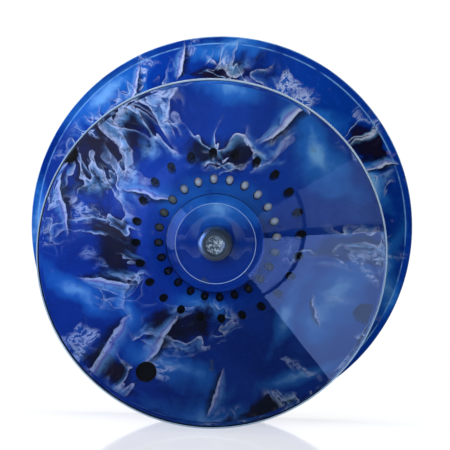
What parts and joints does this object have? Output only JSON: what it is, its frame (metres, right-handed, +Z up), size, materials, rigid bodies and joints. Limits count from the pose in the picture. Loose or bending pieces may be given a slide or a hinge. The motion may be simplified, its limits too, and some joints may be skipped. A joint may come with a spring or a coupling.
{
  "type": "yo yo",
  "caption": "Ball-bearing yo-yo with a smaller clear conical front half, a larger blue marbled rear half with rings of holes, and a steel axle.",
  "frame": {"origin": "centre of the bearing, midway between the two rims", "axes": "Y along the axle with the clear half towards -Y, +Z up, X to the right seen from the clear half"},
  "size_m": [0.0574, 0.042, 0.0574],
  "materials": {
    "clear_plastic": "clear polished polycarbonate",
    "printed_shell": "glossy marbled blue print on aluminium",
    "bearing_steel": "ground bearing steel",
    "axle_steel": "turned steel",
    "spacer_aluminium": "turned aluminium",
    "cage_brass": "stamped brass",
    "silicone_pad": "matte translucent silicone",
    "black_plastic": "fine matte moulded"
  },
  "bodies": {
    "halves": {"front_half": "clear_plastic", "rear_half": "printed_shell", "rear_cap": "black_plastic", "axle_stud": "axle_steel", "rear_nut": "axle_steel", "front_spacer": "printed_shell", "rear_spacer": "spacer_aluminium", "response_ring": "silicone_pad", "bearing_inner_race": "bearing_steel"},
    "bearing_ring": {"bearing_outer_race": "bearing_steel", "bearing_front_shield": "bearing_steel", "bearing_rear_shield": "bearing_steel", "bearing_front_snap_ring": "bearing_steel", "bearing_rear_snap_ring": "bearing_steel"},
    "ball_cage": {"bearing_cage": "cage_brass", "bearing_ball_1": "bearing_steel", "bearing_ball_2": "bearing_steel", "bearing_ball_3": "bearing_steel", "bearing_ball_4": "bearing_steel", "bearing_ball_5": "bearing_steel", "bearing_ball_6": "bearing_steel", "bearing_ball_7": "bearing_steel", "bearing_ball_8": "bearing_steel", "bearing_ball_9": "bearing_steel", "bearing_ball_10": "bearing_steel"}
  },
  "joints": [
    {"name": "bearing_spin", "type": "hinge", "parent": "halves", "child": "bearing_ring", "pos_m": [0, 0, 0], "axis": [0, 1, 0], "continuous": true},
    {"name": "cage_spin", "type": "hinge", "parent": "halves", "child": "ball_cage", "pos_m": [0, 0, 0], "axis": [0, 1, 0], "continuous": true}
  ],
  "couplings": [
    {"joint": "cage_spin", "follows": "bearing_spin", "ratio": 0.5834}
  ]
}
